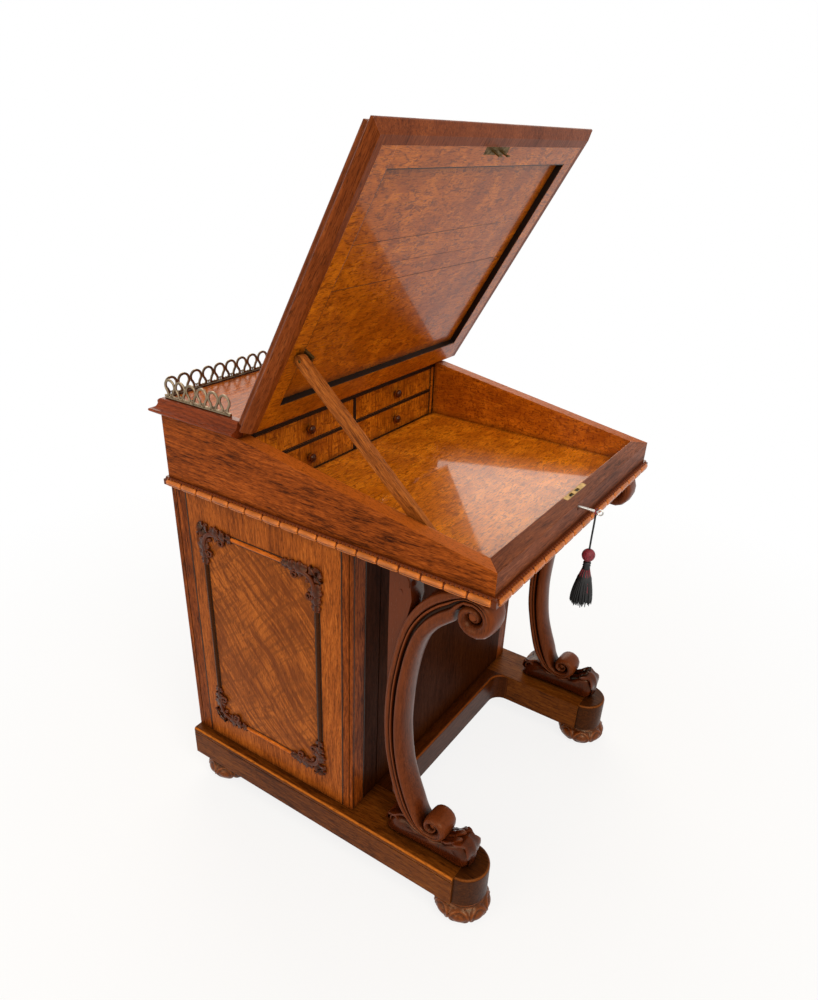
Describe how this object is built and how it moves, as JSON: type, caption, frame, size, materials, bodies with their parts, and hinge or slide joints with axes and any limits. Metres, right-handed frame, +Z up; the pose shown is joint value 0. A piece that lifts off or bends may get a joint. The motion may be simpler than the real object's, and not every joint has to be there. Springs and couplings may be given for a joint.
{
  "type": "davenport desk",
  "caption": "Davenport desk: writing box with a hinged, propped slope, inner drawers, lock and gallery, over a pedestal with side drawers, scroll supports and bun feet.",
  "frame": {"origin": "centre of the footprint on the floor", "axes": "+X to the writer's right, +Y to the back, +Z up"},
  "size_m": [0.622, 0.6715, 1.1723],
  "materials": {
    "walnut": "wax polished",
    "burr_walnut": "wax polished burr veneer",
    "carved_walnut": "polished carving",
    "mahogany": "french polished",
    "maple": "polished figured veneer",
    "drawer_lining": "planed",
    "leather": "tooled",
    "brass": "aged",
    "steel": "worn bright",
    "bronze": "dark patina",
    "black_silk": "silk",
    "red_silk": "silk",
    "red_bead": "wrapped thread"
  },
  "bodies": {
    "desk": {"base_platform": "walnut", "carved_moulding": "carved_walnut", "deck_cornice": "mahogany", "deck_hinge_leaves": "brass", "desk_back": "walnut", "desk_front": "walnut", "desk_left_side": "walnut", "desk_right_side": "walnut", "drawer_frame": "walnut", "drawer_runners": "drawer_lining", "foot_front_left": "walnut", "foot_front_right": "walnut", "foot_rear_left": "walnut", "foot_rear_right": "walnut", "gallery": "bronze", "hinge_pins": "brass", "kneehole_panel": "walnut", "lock_case": "steel", "lock_plate": "brass", "pedestal_back": "walnut", "pedestal_left_side": "burr_walnut", "pedestal_posts": "walnut", "pedestal_top": "drawer_lining", "rear_deck": "mahogany", "runner_left": "walnut", "runner_right": "walnut", "runner_toes": "walnut", "scroll_support_left": "carved_walnut", "scroll_support_right": "carved_walnut", "side_bead_frame": "walnut", "side_corner_carvings": "carved_walnut", "small_drawer_case": "maple", "small_drawer_dividers": "maple", "well_floor": "maple"},
    "lid": {"lid_frame": "maple", "lid_panel": "maple", "writing_leather": "leather", "lid_moulding": "mahogany", "lid_hinge_leaves": "brass", "link_plate": "steel"},
    "prop_slide": {"prop_slide_shoe": "brass"},
    "lid_prop": {"lid_prop": "walnut"},
    "key": {"key": "steel"},
    "lock_bolt": {"lock_bolt": "steel"},
    "tassel": {"tassel_loop": "red_silk", "tassel_cord": "black_silk", "tassel_bead": "red_bead", "tassel_skirt": "black_silk"},
    "small_drawer_1": {"small_drawer_1": "maple"},
    "side_drawer_1": {"side_drawer_box_1": "drawer_lining", "side_drawer_front_1": "walnut"},
    "small_drawer_2": {"small_drawer_2": "maple"},
    "side_drawer_2": {"side_drawer_box_2": "drawer_lining", "side_drawer_front_2": "walnut"},
    "small_drawer_3": {"small_drawer_3": "maple"},
    "side_drawer_3": {"side_drawer_box_3": "drawer_lining", "side_drawer_front_3": "walnut"},
    "small_drawer_4": {"small_drawer_4": "maple"},
    "side_drawer_4": {"side_drawer_box_4": "drawer_lining", "side_drawer_front_4": "walnut"}
  },
  "joints": [
    {"name": "lid_hinge", "type": "hinge", "parent": "desk", "child": "lid", "pos_m": [0, 0.1464, 0.78], "axis": [1, 0, 0], "range_deg": [0, 69.35]},
    {"name": "prop_pin_slide", "type": "slide", "parent": "lid", "child": "prop_slide", "axis": [0, 0.4961, -0.8683], "range_m": [0, 0.072]},
    {"name": "prop_swing", "type": "hinge", "parent": "prop_slide", "child": "lid_prop", "pos_m": [-0.267, 0.04586, 0.88149], "axis": [1, 0, 0], "range_deg": [-99.9, 0]},
    {"name": "small_drawer_1_slide", "type": "slide", "parent": "desk", "child": "small_drawer_1", "axis": [0, 1, 0], "range_m": [-0.1, 0]},
    {"name": "small_drawer_2_slide", "type": "slide", "parent": "desk", "child": "small_drawer_2", "axis": [0, 1, 0], "range_m": [-0.1, 0]},
    {"name": "small_drawer_3_slide", "type": "slide", "parent": "desk", "child": "small_drawer_3", "axis": [0, 1, 0], "range_m": [-0.1, 0]},
    {"name": "small_drawer_4_slide", "type": "slide", "parent": "desk", "child": "small_drawer_4", "axis": [0, 1, 0], "range_m": [-0.1, 0]},
    {"name": "side_drawer_1_slide", "type": "slide", "parent": "desk", "child": "side_drawer_1", "axis": [1, 0, 0], "range_m": [0, 0.34]},
    {"name": "side_drawer_2_slide", "type": "slide", "parent": "desk", "child": "side_drawer_2", "axis": [1, 0, 0], "range_m": [0, 0.34]},
    {"name": "side_drawer_3_slide", "type": "slide", "parent": "desk", "child": "side_drawer_3", "axis": [1, 0, 0], "range_m": [0, 0.34]},
    {"name": "side_drawer_4_slide", "type": "slide", "parent": "desk", "child": "side_drawer_4", "axis": [1, 0, 0], "range_m": [0, 0.34]},
    {"name": "key_turn", "type": "hinge", "parent": "desk", "child": "key", "pos_m": [-0.029, -0.2916, 0.675], "axis": [0, 1, 0], "range_deg": [0, 90]},
    {"name": "lock_bolt_slide", "type": "slide", "parent": "desk", "child": "lock_bolt", "axis": [-1, 0, 0], "range_m": [0, 0.005]},
    {"name": "tassel_swing", "type": "hinge", "parent": "desk", "child": "tassel", "pos_m": [-0.029, -0.3201, 0.675], "axis": [0, 1, 0], "range_deg": [-25, 25]}
  ],
  "couplings": [
    {"joint": "prop_pin_slide", "follows": "lid_hinge", "m_per_rad": 0.059442},
    {"joint": "prop_swing", "follows": "lid_hinge", "ratio": -1.4389},
    {"joint": "key_turn", "follows": "lock_bolt_slide", "rad_per_m": 314.16}
  ]
}
